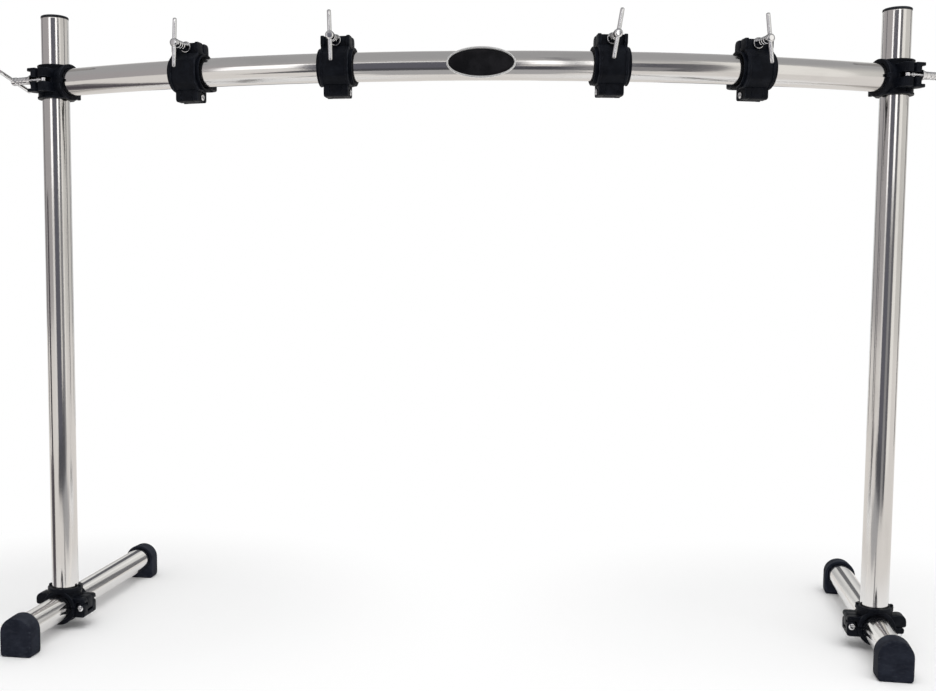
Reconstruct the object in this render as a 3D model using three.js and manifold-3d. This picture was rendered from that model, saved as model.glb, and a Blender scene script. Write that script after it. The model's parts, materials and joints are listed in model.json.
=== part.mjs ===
import * as THREE from 'three';
import Module from 'manifold-3d';
import { mergeVertices } from 'three/addons/utils/BufferGeometryUtils.js';

const wasm = await Module();
wasm.setup();

// Tubes
const tubeRadius = 19.05;
const tubeWall = 2;
const tubeSides = 24;
const uprightHalfSpan = 590;
const barHeight = 798;
const barEndAngle = 20 * Math.PI / 180;
const barStraightEnd = 60;
const barSteps = 18;
const uprightAboveBar = 90;
const footAxisHeight = 32.5;
const tubeEndSetback = 20.5;
const footFront = 145;
const footBack = 295;
const footYawLeft = -5.5 * Math.PI / 180;
const footYawRight = -7.5 * Math.PI / 180;

// Clearances
const touchGap = 0.35;
const bendGap = 0.6;
const splitGap = 0.6;
const knuckleGap = 0.4;

// Shared clamp shape
const collarWall = 5;
const collarSides = 24;
const smallSides = 12;
const hingeOffset = 32.6;
const knuckleRadius = 6.5;
const knuckleHalf = 8;
const knuckleReach = 19.2;
const hingePinRadius = 2.8;
const hingeHeadRadius = 4.6;
const hingeHeadHeight = 1.8;
const boltOffset = 33;
const eyeSetback = 7;
const eyeRadius = 5.6;
const eyeHalf = 3.5;
const eyePinRadius = 2.6;
const eyePinHalf = 8.6;
const earHalf = 9.2;
const earRadius = 6.6;
const boltRadius = 2.9;
const boltLength = 42;
const forkSeat = 20;
const forkSlotHalf = 4.1;
const forkHalf = 16.5;
const wideForkHalf = 19.5;
const forkRoot = 3.5;
const forkBelow = 9;
const forkAbove = 6;
const lipRise = 6;
const lipThick = 4.4;

// Wing nuts
const flangeRadius = 7.5;
const flangeHeight = 2.6;
const barrelRadius = 5.2;
const barrelLength = 36;
const wingRodAt = 32;
const wingRodRadius = 2.7;
const wingRodLength = 64;
const leftNutTurn = 72 * Math.PI / 180;
const nutBoreDepth = 24;

// Tube joining clamps
const joinHalf = 23.5;
const socketOuter = 23.6;
const socketReach = 28;
const bandRadius = 25.6;
const bandHalf = 5;
const rimNub = 2.6;
const keyBoltRadius = 3;
const keyHeadRadius = 5.6;
const keyHeadHeight = 5;
const keySquare = 6.4;
const keySquareHeight = 6;
const lobeRadius = 8.6;
const lobeHalf = 11;
const lobeTop = 15;
const lobeBottom = 9;
const keyThread = 11;

// Accessory clamps
const accessoryAngles = [-13.83, -6.1, 7.02, 14.19].map((degrees) => degrees * Math.PI / 180);
const accessoryNames = ['one', 'two', 'three', 'four'];
const accessoryNutTurns = [92, 88, 99, 83].map((degrees) => degrees * Math.PI / 180);
const plateHalf = 19.5;
const flareHalf = 25;
const flareRadius = 24.6;
const plateFront = 27;
const plateTop = 20;
const plateBottom = 33;
const bossOffset = 43;
const bossRadius = 14.5;
const bossHalf = 16.5;
const bossBore = 9.8;
const bossWebHalf = 9;
const socketScrewRadius = 3;
const socketScrewStart = 2.5;
const socketScrewLength = 16;
const socketCollarRadius = 5.4;
const socketCollarHeight = 3;

// Rubber feet and end caps
const soleHalfWidth = 23.5;
const soleTaperShare = 0.965;
const soleDepth = 27;
const soleWall = 4;
const soleEdge = 4;
const soleArcSteps = 10;
const soleFloorShare = 0.86;
const capLip = 0.25;
const capDome = 4.4;
const capShoulder = 2;
const capPlugDepth = 14;
const capSides = 24;

// Badge
const badgeAngle = 0.85 * Math.PI / 180;
const badgeHalfWidth = 45;
const badgeHalfHeight = 20;
const badgeThick = 2.4;
const badgeRimWidth = 2.6;
const badgeRimThick = 3.4;
const badgePadHalf = 26;
const badgePadHeight = 12;
const badgeSeat = 3.2;
const badgeSides = 32;

// Derived sizes
const uprightTop = barHeight + uprightAboveBar;
const tubeInner = tubeRadius - tubeWall;
const barRadius = (uprightHalfSpan - barStraightEnd * Math.cos(barEndAngle)) / Math.sin(barEndAngle);
const barSagitta = barRadius * (1 - Math.cos(barEndAngle)) + barStraightEnd * Math.sin(barEndAngle);
const arcCentreY = barRadius - barSagitta;
const collarOuter = tubeRadius + touchGap + collarWall;
const joinBore = tubeRadius + touchGap;
const slideBore = tubeRadius + bendGap;
const capRim = tubeRadius + capLip;
const wide = uprightHalfSpan;

const { Manifold, Mesh } = wasm;

function solid(geometry) {
  const bare = geometry.clone();
  bare.deleteAttribute('normal');
  bare.deleteAttribute('uv');
  const merged = mergeVertices(bare, 1e-4);
  const mesh = new Mesh({
    numProp: 3,
    vertProperties: new Float32Array(merged.attributes.position.array),
    triVerts: new Uint32Array(merged.index.array),
  });
  return new Manifold(mesh);
}

function geometryOf(body) {
  const mesh = body.getMesh();
  const geometry = new THREE.BufferGeometry();
  geometry.setAttribute('position', new THREE.BufferAttribute(new Float32Array(mesh.vertProperties), 3));
  geometry.setIndex(new THREE.BufferAttribute(new Uint32Array(mesh.triVerts), 1));
  geometry.computeVertexNormals();
  return geometry;
}

// Round bar along one axis, from one station to the other, centred on the other two
function rod(axis, radius, from, to, at = [0, 0], sides = collarSides, endRadius = radius) {
  const geometry = new THREE.CylinderGeometry(endRadius, radius, to - from, sides);
  geometry.translate(0, (from + to) / 2, 0);
  if (axis === 'x') {
    geometry.rotateZ(-Math.PI / 2);
    geometry.translate(0, at[0], at[1]);
  }
  if (axis === 'y') {
    geometry.translate(at[0], 0, at[1]);
  }
  if (axis === 'z') {
    geometry.rotateX(Math.PI / 2);
    geometry.translate(at[0], at[1], 0);
  }
  return solid(geometry);
}

function block(x0, x1, y0, y1, z0, z1) {
  const geometry = new THREE.BoxGeometry(x1 - x0, y1 - y0, z1 - z0);
  geometry.translate((x0 + x1) / 2, (y0 + y1) / 2, (z0 + z1) / 2);
  return solid(geometry);
}

function add(...bodies) {
  return bodies.reduce((sum, body) => sum.add(body));
}

function ring(outer, inner) {
  const shape = new THREE.Shape();
  shape.absarc(0, 0, outer, 0, Math.PI * 2, false);
  const hole = new THREE.Path();
  hole.absarc(0, 0, inner, 0, Math.PI * 2, true);
  shape.holes.push(hole);
  return shape;
}

// Straight hollow tube along +Z
function straightTube(length) {
  return new THREE.ExtrudeGeometry(ring(tubeRadius, tubeInner), {
    depth: length, bevelEnabled: false, curveSegments: tubeSides / 2, steps: 1,
  });
}

// The bar follows one arc and ends in a short straight length at each side
class BarPath extends THREE.Curve {
  getPoint(t, target = new THREE.Vector3()) {
    const straight = barStraightEnd - tubeEndSetback;
    const arc = barRadius * barEndAngle;
    const along = (t * 2 - 1) * (arc + straight);
    const onArc = Math.max(-arc, Math.min(arc, along));
    const angle = onArc / barRadius;
    const past = along - onArc;
    return target.set(
      barRadius * Math.sin(angle) + past * Math.cos(angle),
      arcCentreY - barRadius * Math.cos(angle) + past * Math.sin(angle),
      0,
    );
  }
}

// Clamp that joins a tube end to a crossing tube.
// Crossing tube along local Z, tube end along local +X, hinge at +Y, closing bolt at -Y.
function joinCollar() {
  return add(
    rod('z', collarOuter, -joinHalf, joinHalf),
    rod('z', bandRadius, -bandHalf, bandHalf),
  );
}

function knuckle(mid) {
  const span = mid
    ? [[-knuckleHalf, knuckleHalf]]
    : [[-knuckleReach, -knuckleHalf - knuckleGap], [knuckleHalf + knuckleGap, knuckleReach]];
  const side = mid ? 1 : -1;
  const near = Math.min(side * splitGap, side * knuckleRadius);
  const far = Math.max(side * splitGap, side * knuckleRadius);
  return add(...span.map(([from, to]) => add(
    rod('z', knuckleRadius, from, to, [0, hingeOffset], smallSides),
    block(near, far, tubeRadius, hingeOffset, from, to),
  )));
}

function clearance(x0, x1) {
  return block(x0, x1, -wide, wide, -wide, wide);
}

function eyeEars() {
  const ears = add(
    rod('z', earRadius, -earHalf, earHalf, [eyeSetback, -boltOffset], smallSides),
    block(splitGap, eyeSetback + earRadius, -boltOffset, -tubeRadius, -earHalf, earHalf),
  );
  const slot = add(
    rod('z', eyeRadius + touchGap * 2, -eyeHalf - touchGap, eyeHalf + touchGap,
      [eyeSetback, -boltOffset], smallSides),
    block(-eyeSetback, eyeSetback, -boltOffset * 2, -boltOffset + eyeRadius + touchGap,
      -eyeHalf - touchGap, eyeHalf + touchGap),
    block(eyeSetback, eyeSetback * 3, -boltOffset * 2, -boltOffset, -eyeHalf - touchGap, eyeHalf + touchGap),
  );
  const hole = rod('z', eyePinRadius + touchGap, -wide, wide, [eyeSetback, -boltOffset], smallSides);
  return ears.subtract(slot).subtract(hole).subtract(clearance(-wide, splitGap));
}

function fork(half) {
  const reach = forkSeat - eyeSetback;
  const base = block(-reach - lipRise, -forkRoot, -boltOffset - forkAbove, -boltOffset + forkBelow,
    -half, half);
  const web = block(-reach, -splitGap, -boltOffset + forkBelow / 2, -tubeRadius, -half, half);
  const seat = rod('z', forkSeat, -half * 2, half * 2, [eyeSetback, -boltOffset], collarSides * 2);
  const shelf = block(-reach * 3, 0, -wide, -boltOffset + forkBelow * 2, -half + lipThick,
    half - lipThick);
  const slot = block(-wide, forkRoot, -wide, -boltOffset + boltRadius + touchGap * 2,
    -forkSlotHalf, forkSlotHalf);
  const trimmed = base.subtract(shelf.subtract(seat));
  return add(trimmed, web).subtract(slot);
}

function cornerCut(radius, half) {
  return rod('z', radius, -half, half, [0, 0], collarSides * 2);
}

function joinBody(closer) {
  const outer = add(
    joinCollar(),
    rod('x', socketOuter, 0, socketReach),
    rod('x', socketOuter + collarWall / 3, socketReach - collarWall, socketReach),
  ).subtract(clearance(-wide, splitGap));
  const nubs = add(
    block(socketReach - collarWall, socketReach + rimNub, socketOuter - collarWall / 2,
      socketOuter + collarWall / 3, -rimNub, rimNub),
    block(socketReach - collarWall, socketReach + rimNub, -socketOuter - collarWall / 3,
      -socketOuter + collarWall / 2, -rimNub, rimNub),
  );
  const lugs = closer === 'swing' ? eyeEars() : upperLobe();
  return add(outer, nubs, knuckle(true), lugs)
    .subtract(rod('z', joinBore, -wide, wide, [0, 0], collarSides))
    .subtract(rod('x', joinBore, 0, wide, [0, 0], collarSides))
    .subtract(rod('z', hingePinRadius + touchGap, -wide, wide, [0, hingeOffset], smallSides));
}

function joinJaw(closer) {
  const shell = joinCollar().subtract(clearance(-splitGap, wide));
  const lugs = closer === 'swing' ? fork(forkHalf) : lowerLobe();
  return add(shell, knuckle(false), lugs)
    .subtract(rod('z', joinBore, -wide, wide, [0, 0], collarSides))
    .subtract(rod('z', hingePinRadius + touchGap, -wide, wide, [0, hingeOffset], smallSides));
}

// Closing lobes of the lower clamps, drawn together by one key bolt
function upperLobe() {
  return add(
    rod('z', lobeRadius, -lobeHalf, lobeHalf, [lobeRadius + splitGap, -boltOffset], smallSides),
    block(splitGap, lobeTop, -boltOffset, -tubeRadius, -lobeHalf, lobeHalf),
  )
    .subtract(clearance(-wide, splitGap))
    .subtract(rod('x', keyBoltRadius + touchGap, 0, keyThread + touchGap, [-boltOffset, 0], smallSides));
}

function lowerLobe() {
  return add(
    block(-lobeBottom, -splitGap, -boltOffset - lobeRadius + collarWall / 2, -tubeRadius,
      -lobeHalf, lobeHalf),
  ).subtract(add(
    rod('x', keyBoltRadius + touchGap * 2, -wide, 0, [-boltOffset, 0], smallSides),
    block(-wide, 0, -wide, -boltOffset, -keyBoltRadius - touchGap * 2, keyBoltRadius + touchGap * 2),
  ));
}

function keyBolt() {
  return add(
    rod('x', keyBoltRadius, -lobeBottom - keyHeadHeight, keyThread, [0, 0], smallSides),
    rod('x', keyHeadRadius, -lobeBottom - touchGap - keyHeadHeight, -lobeBottom - touchGap, [0, 0], smallSides),
    block(-lobeBottom - keyHeadHeight - keySquareHeight, -lobeBottom - keyHeadHeight,
      -keySquare / 2, keySquare / 2, -keySquare / 2, keySquare / 2),
  );
}

function hingePin(reach) {
  return add(
    rod('z', hingePinRadius, -reach, reach, [0, 0], smallSides),
    rod('z', hingeHeadRadius, reach, reach + hingeHeadHeight, [0, 0], smallSides, hingeHeadRadius * 0.8),
    rod('z', hingeHeadRadius * 0.8, -reach - hingeHeadHeight, -reach, [0, 0], smallSides, hingeHeadRadius),
  );
}

// Swing bolt: eye and cross pin at the origin, shank along -X
function swingBolt() {
  return add(
    rod('z', eyeRadius, -eyeHalf, eyeHalf, [0, 0], smallSides),
    rod('z', eyePinRadius, -eyePinHalf, eyePinHalf, [0, 0], smallSides),
    rod('x', boltRadius, -boltLength, 0, [0, 0], smallSides),
  );
}

// Wing nut: seat at the origin, barrel along -X, rod along Z
function wingNut() {
  return add(
    rod('x', flangeRadius, -flangeHeight, 0, [0, 0], collarSides),
    rod('x', barrelRadius, -barrelLength, 0, [0, 0], smallSides),
    rod('z', wingRodRadius, -wingRodLength / 2, wingRodLength / 2, [-wingRodAt, 0], smallSides),
  ).subtract(rod('x', boltRadius + touchGap, -nutBoreDepth, touchGap * 2, [0, 0], smallSides));
}

// Accessory clamp, drawn in the same local frame: bar along local Z, split at X = 0
function flaredCollar() {
  const flare = flareHalf - plateHalf;
  return add(
    rod('z', collarOuter, -flareHalf, flareHalf),
    rod('z', collarOuter, plateHalf, flareHalf, [0, 0], collarSides, flareRadius),
    rod('z', flareRadius, -flareHalf, -flareHalf + flare, [0, 0], collarSides, collarOuter),
  );
}

function tubeCut() {
  return add(
    rod('z', slideBore, -wide, wide, [0, 0], collarSides),
    rod('z', hingePinRadius + touchGap, -wide, wide, [0, hingeOffset], smallSides),
  );
}

function rearJaw() {
  const shell = flaredCollar().subtract(clearance(-wide, splitGap));
  const rearPlate = block(splitGap, collarOuter - collarWall / 2, -plateTop, plateTop, -plateHalf, plateHalf);
  const boss = rod('y', bossRadius, -bossHalf, bossHalf, [bossOffset, 0], collarSides);
  const web = block(tubeRadius, bossOffset, -bossWebHalf, bossWebHalf, -bossWebHalf, bossWebHalf);
  const screwPad = rod('x', socketCollarRadius + touchGap * 4, bossOffset, bossOffset + bossRadius + touchGap * 4,
    [0, 0], smallSides);
  return add(shell, rearPlate, web, boss, screwPad, knuckle(true), eyeEars())
    .subtract(rod('y', bossBore, -wide, wide, [bossOffset, 0], collarSides))
    .subtract(rod('x', socketScrewRadius + touchGap, bossOffset, wide, [0, 0], smallSides))
    .subtract(tubeCut());
}

function frontJaw() {
  const shell = flaredCollar().subtract(clearance(-splitGap, wide));
  const plate = block(-plateFront, -splitGap, -plateTop - collarWall, plateBottom - knuckleRadius * 1.5,
    -plateHalf, plateHalf).intersect(cornerCut(plateFront + collarWall / 2, plateHalf * 2));
  return add(shell, plate, knuckle(false), fork(wideForkHalf)).subtract(tubeCut());
}

function socketScrew() {
  const start = bossBore + socketScrewStart;
  const head = start + socketScrewLength;
  return add(
    rod('x', socketScrewRadius, start, head, [0, 0], smallSides),
    rod('x', socketCollarRadius, head - socketCollarHeight * 2, head - socketCollarHeight, [0, 0], smallSides),
    block(head - socketCollarHeight, head + socketCollarHeight, -keySquare / 2, keySquare / 2,
      -keySquare / 2, keySquare / 2),
  );
}

// Outline of a rubber foot: flat sole, straight sides, round top
function soleOutline(halfWidth) {
  const points = [];
  const axis = footAxisHeight;
  points.push([-halfWidth * soleFloorShare, 0]);
  points.push([halfWidth * soleFloorShare, 0]);
  points.push([halfWidth - soleEdge * (1 - soleFloorShare), soleEdge * (1 - soleFloorShare)]);
  points.push([halfWidth, soleEdge]);
  for (let step = 0; step <= soleArcSteps; step += 1) {
    const angle = Math.PI * step / soleArcSteps;
    points.push([halfWidth * Math.cos(angle), axis + halfWidth * Math.sin(angle)]);
  }
  points.push([-halfWidth, soleEdge]);
  points.push([-halfWidth + soleEdge * (1 - soleFloorShare), soleEdge * (1 - soleFloorShare)]);
  return points;
}

function loft(sections) {
  const count = sections[0].points.length;
  const positions = [];
  const faces = [];
  for (const { at, points } of sections) {
    for (const [x, z] of points) {
      positions.push(x, at, z);
    }
  }
  for (let level = 0; level + 1 < sections.length; level += 1) {
    for (let i = 0; i < count; i += 1) {
      const a = level * count + i;
      const b = level * count + (i + 1) % count;
      faces.push(a, b + count, b, a, a + count, b + count);
    }
  }
  const last = (sections.length - 1) * count;
  for (let i = 1; i + 1 < count; i += 1) {
    faces.push(0, i, i + 1);
    faces.push(last, last + i + 1, last + i);
  }
  const geometry = new THREE.BufferGeometry();
  geometry.setAttribute('position', new THREE.Float32BufferAttribute(positions, 3));
  geometry.setIndex(faces);
  return solid(geometry);
}

// Rubber foot: outer face at the origin, mouth towards +Y
function rubberFoot() {
  const narrow = soleHalfWidth * soleTaperShare;
  const body = loft([
    { at: 0, points: soleOutline(narrow * soleTaperShare) },
    { at: soleEdge / 2, points: soleOutline(narrow) },
    { at: soleDepth, points: soleOutline(soleHalfWidth) },
  ]);
  return body.subtract(rod('y', joinBore, soleWall, wide, [0, footAxisHeight], collarSides));
}

function endCap() {
  const profile = [
    [0, -capPlugDepth],
    [tubeInner - touchGap, -capPlugDepth],
    [tubeInner - touchGap, touchGap],
    [capRim, touchGap],
    [capRim, capShoulder],
    [capRim * 0.86, capDome * 0.8],
    [capRim * 0.5, capDome * 0.96],
    [0, capDome],
  ].map(([r, z]) => new THREE.Vector2(r, z));
  const geometry = new THREE.LatheGeometry(profile, capSides);
  geometry.rotateX(Math.PI / 2);
  return geometry;
}

function ellipse(halfWidth, halfHeight, from, to) {
  const geometry = new THREE.CylinderGeometry(1, 1, to - from, badgeSides);
  geometry.translate(0, (from + to) / 2, 0);
  geometry.scale(halfWidth, 1, halfHeight);
  return solid(geometry);
}

// Oval plate on a pad that fits the front of the bar
function badgePlate() {
  const front = -tubeRadius - badgeSeat;
  const inner = badgeRimWidth + touchGap;
  const plate = ellipse(badgeHalfWidth - inner, badgeHalfHeight - inner, front - badgeThick, front);
  const pad = block(-badgePadHalf, badgePadHalf, front, front + badgeSeat * 2,
    -badgePadHeight, badgePadHeight);
  return add(plate, pad).subtract(rod('x', slideBore, -wide, wide, [0, 0], tubeSides * 2));
}

function badgeRim() {
  const front = -tubeRadius - badgeSeat;
  return ellipse(badgeHalfWidth, badgeHalfHeight, front - badgeRimThick, front)
    .subtract(ellipse(badgeHalfWidth - badgeRimWidth, badgeHalfHeight - badgeRimWidth, front - wide, front + wide));
}

const looks = {
  steel: { color: 0xd4d0cc, roughness: 0.22, metalness: 1 },
  chrome: { color: 0xe6e6e8, roughness: 0.1, metalness: 1 },
  clamp: { color: 0x24272d, roughness: 0.55, metalness: 0 },
  rubber: { color: 0x3a3f4a, roughness: 0.8, metalness: 0 },
  cap: { color: 0x1d1e21, roughness: 0.6, metalness: 0 },
  badge: { color: 0x1b1b1f, roughness: 0.35, metalness: 0 },
  rim: { color: 0xdcdcd6, roughness: 0.3, metalness: 0.6 },
};

function named(name, geometry, look) {
  const mesh = new THREE.Mesh(geometry, new THREE.MeshStandardMaterial(looks[look]));
  mesh.name = name;
  return mesh;
}

function frameGroup(name, position, xAxis, yAxis) {
  const group = new THREE.Group();
  const zAxis = new THREE.Vector3().crossVectors(xAxis, yAxis);
  group.name = name;
  group.position.copy(position);
  group.quaternion.setFromRotationMatrix(new THREE.Matrix4().makeBasis(xAxis, yAxis, zAxis));
  return group;
}

const whole = new THREE.Group();
whole.name = 'drum_rack_frame';
const up = new THREE.Vector3(0, 0, 1);

const shapes = {
  joinSwingBody: geometryOf(joinBody('swing')),
  joinSwingJaw: geometryOf(joinJaw('swing')),
  joinKeyBody: geometryOf(joinBody('key')),
  joinKeyJaw: geometryOf(joinJaw('key')),
  rearJaw: geometryOf(rearJaw()),
  frontJaw: geometryOf(frontJaw()),
  hingePin: geometryOf(hingePin(knuckleReach + touchGap)),
  swingBolt: geometryOf(swingBolt()),
  wingNut: geometryOf(wingNut()),
  keyBolt: geometryOf(keyBolt()),
  socketScrew: geometryOf(socketScrew()),
  rubberFoot: geometryOf(rubberFoot()),
  endCap: endCap(),
};

function place(group, name, shape, look, x = 0, y = 0, z = 0) {
  const mesh = named(name, shapes[shape], look);
  mesh.position.set(x, y, z);
  group.add(mesh);
  return mesh;
}

function closingParts(group, label, nutTurn) {
  place(group, `${label}_hinge_pin`, 'hingePin', 'chrome', 0, hingeOffset, 0);
  place(group, `${label}_swing_bolt`, 'swingBolt', 'chrome', eyeSetback, -boltOffset, 0);
  const nut = place(group, `${label}_wing_nut`, 'wingNut', 'chrome', eyeSetback - forkSeat - touchGap, -boltOffset, 0);
  nut.rotation.x = nutTurn;
}

// Bar with its badge
const bar = new THREE.Mesh(
  new THREE.ExtrudeGeometry(ring(tubeRadius, tubeInner), {
    steps: barSteps, curveSegments: tubeSides / 2, extrudePath: new BarPath(),
  }),
  new THREE.MeshStandardMaterial(looks.steel),
);
bar.name = 'curved_bar';
bar.position.set(0, 0, barHeight);
whole.add(bar);

const badge = new THREE.Group();
badge.position.set(
  barRadius * Math.sin(badgeAngle),
  arcCentreY - barRadius * Math.cos(badgeAngle),
  barHeight,
);
badge.rotation.z = badgeAngle;
badge.add(named('badge_plate', geometryOf(badgePlate()), 'badge'));
badge.add(named('badge_rim', geometryOf(badgeRim()), 'rim'));
whole.add(badge);

// Accessory clamps stand square to the arc
accessoryAngles.forEach((angle, index) => {
  const label = `clamp_${accessoryNames[index]}`;
  const outward = new THREE.Vector3(Math.sin(angle), -Math.cos(angle), 0);
  const position = new THREE.Vector3(
    barRadius * outward.x,
    arcCentreY + barRadius * outward.y,
    barHeight,
  );
  const group = frameGroup(`${label}_group`, position, outward.clone().negate(), up.clone().negate());
  place(group, `${label}_rear_jaw`, 'rearJaw', 'clamp');
  place(group, `${label}_front_jaw`, 'frontJaw', 'clamp');
  closingParts(group, label, accessoryNutTurns[index]);
  place(group, `${label}_socket_screw`, 'socketScrew', 'chrome', bossOffset, 0, 0);
  whole.add(group);
});

for (const [side, label] of [[-1, 'left'], [1, 'right']]) {
  const x = side * uprightHalfSpan;
  const toBar = new THREE.Vector3(-side * Math.cos(barEndAngle), -Math.sin(barEndAngle), 0);
  const toRear = new THREE.Vector3(-side * Math.sin(barEndAngle), Math.cos(barEndAngle), 0);
  const top = frameGroup(`top_clamp_${label}_group`, new THREE.Vector3(x, 0, barHeight), toBar, toRear);
  place(top, `top_clamp_${label}_body`, 'joinSwingBody', 'clamp');
  place(top, `top_clamp_${label}_jaw`, 'joinSwingJaw', 'clamp');
  closingParts(top, `top_clamp_${label}`, side < 0 ? leftNutTurn : 0);
  whole.add(top);

  const upright = named(`upright_${label}`, straightTube(uprightTop - footAxisHeight - tubeEndSetback), 'steel');
  upright.position.set(x, 0, footAxisHeight + tubeEndSetback);
  whole.add(upright);
  const cap = named(`upright_cap_${label}`, shapes.endCap, 'cap');
  cap.position.set(x, 0, uprightTop);
  whole.add(cap);

  const yaw = side > 0 ? footYawRight : footYawLeft;
  const inner = new THREE.Vector3(-side * Math.cos(yaw), -side * Math.sin(yaw), 0);
  const base = frameGroup(`base_clamp_${label}_group`, new THREE.Vector3(x, 0, footAxisHeight), up, inner);
  place(base, `base_clamp_${label}_body`, 'joinKeyBody', 'clamp');
  place(base, `base_clamp_${label}_jaw`, 'joinKeyJaw', 'clamp');
  place(base, `base_clamp_${label}_hinge_pin`, 'hingePin', 'chrome', 0, hingeOffset, 0);
  place(base, `base_clamp_${label}_key_bolt`, 'keyBolt', 'chrome', 0, -boltOffset, 0);
  whole.add(base);

  const foot = new THREE.Group();
  foot.position.set(x, 0, 0);
  foot.rotation.z = yaw;
  const tube = named(`foot_tube_${label}`, straightTube(footFront + footBack), 'steel');
  tube.rotation.x = -Math.PI / 2;
  tube.position.set(0, -footFront, footAxisHeight);
  foot.add(tube);
  const front = named(`foot_${label}_front`, shapes.rubberFoot, 'rubber');
  front.position.set(0, -footFront - soleWall - touchGap, 0);
  foot.add(front);
  const back = named(`foot_${label}_back`, shapes.rubberFoot, 'rubber');
  back.rotation.z = Math.PI;
  back.position.set(0, footBack + soleWall + touchGap, 0);
  foot.add(back);
  whole.add(foot);
}

// Origin under the middle of the whole part
whole.updateMatrixWorld(true);
const bounds = new THREE.Box3().setFromObject(whole);
const middle = bounds.getCenter(new THREE.Vector3());
const part = new THREE.Group();
part.name = 'drum_rack_frame_part';
whole.position.set(-middle.x, -middle.y, -bounds.min.z);
part.add(whole);

export default part;
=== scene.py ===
import json
import math
import bpy
import numpy as np
from mathutils import Matrix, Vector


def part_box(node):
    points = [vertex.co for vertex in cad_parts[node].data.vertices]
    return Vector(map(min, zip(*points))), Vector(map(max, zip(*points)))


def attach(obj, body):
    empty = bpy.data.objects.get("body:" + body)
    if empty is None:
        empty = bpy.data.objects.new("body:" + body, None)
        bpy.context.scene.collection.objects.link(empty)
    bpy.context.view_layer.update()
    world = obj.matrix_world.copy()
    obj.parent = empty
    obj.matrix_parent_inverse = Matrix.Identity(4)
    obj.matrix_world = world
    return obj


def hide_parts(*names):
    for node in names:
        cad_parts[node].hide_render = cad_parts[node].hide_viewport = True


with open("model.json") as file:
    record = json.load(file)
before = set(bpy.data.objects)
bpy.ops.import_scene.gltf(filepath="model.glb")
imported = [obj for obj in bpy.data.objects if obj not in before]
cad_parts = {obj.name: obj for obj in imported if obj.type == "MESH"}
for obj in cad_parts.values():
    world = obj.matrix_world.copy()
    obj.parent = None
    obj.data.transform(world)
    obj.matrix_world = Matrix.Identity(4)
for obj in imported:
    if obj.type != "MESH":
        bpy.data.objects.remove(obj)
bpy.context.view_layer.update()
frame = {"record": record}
bodyOf = {node: body for body, nodes in frame["record"]["behaviour"]["bodies"].items() for node in nodes}
metre = 0.001  # shapes are worked out in millimetres

# where the drawn frame stands: halfway between the uprights, on the floor
leftLow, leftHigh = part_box("upright_left")
rightLow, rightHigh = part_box("upright_right")
standing = np.array([(leftLow.x + leftHigh.x + rightLow.x + rightHigh.x) / 4,
                     (leftLow.y + leftHigh.y + rightLow.y + rightHigh.y) / 4, 0.0])

rack = {
    "tubeRadius": 19.05, "tubeWall": 2.0, "halfSpan": 590.0, "barHeight": 798.0,
    "barEndAngle": 20.0, "barStraight": 60.0, "uprightTop": 888.0,
    "footHeight": 32.5, "footFront": 145.0, "footBack": 295.0,
    "yawLeft": -5.5, "yawRight": -7.5, "tubeStart": 24.9,
}
clampAngles = {"one": -13.83, "two": -6.1, "three": 7.02, "four": 14.19}
nutTurns = {"one": 92.0, "two": 88.0, "three": 99.0, "four": 83.0, "left": 72.0, "right": 0.0}
endAngle = math.radians(rack["barEndAngle"])
barRadius = (rack["halfSpan"] - rack["barStraight"] * math.cos(endAngle)) / math.sin(endAngle)
arcCentre = barRadius * math.cos(endAngle) - rack["barStraight"] * math.sin(endAngle)


# surfaces worked out on grids of points
limits = {"straight": 0.9999, "mitre": 0.5, "tiny": 1e-9}


def unit(v):
    return v / np.linalg.norm(v, axis=-1, keepdims=True)


def wholeTurn(count):
    return np.linspace(0, 2 * math.pi, count, endpoint=False)


class Shell:
    # closed surfaces: points in millimetres, faces grouped by corner count, how worn each point is, and
    # flow, the place of each point for a finish that runs along the piece
    def __init__(self, points, faces, wear, flow=None):
        self.points = points
        self.faces = faces
        self.wear = wear
        self.flow = points if flow is None else flow

    def __add__(self, other):
        count = len(self.points)
        return Shell(np.vstack([self.points, other.points]), self.faces + [f + count for f in other.faces],
                     np.concatenate([self.wear, other.wear]), np.vstack([self.flow, other.flow]))

    def carried(self, place):
        # every point goes through a frame: origin + x * xAxis + y * yAxis + z * zAxis
        return Shell(self.points @ place[:3, :3].T + place[:3, 3], self.faces, self.wear, self.flow)


def closedGrid(points, wear, loopRows=False, flow=None):
    # points[row, column]: columns close on themselves, rows either close too or end in flat lids
    rows, columns = points.shape[:2]
    i = np.arange(rows if loopRows else rows - 1)[:, None]
    j = np.arange(columns)[None, :]
    k = (j + 1) % columns
    a, b = i * columns, (i + 1) % rows * columns
    faces = [np.stack([a + j, a + k, b + k, b + j], -1).reshape(-1, 4)]
    if not loopRows:
        faces.append(np.arange(columns)[None, ::-1])
        faces.append((rows - 1) * columns + np.arange(columns)[None, :])
    flat = points.reshape(-1, 3)
    return Shell(flat, faces, np.broadcast_to(wear, (rows, columns)).reshape(-1).astype(float),
                 flat if flow is None else flow.reshape(-1, 3))


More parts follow.
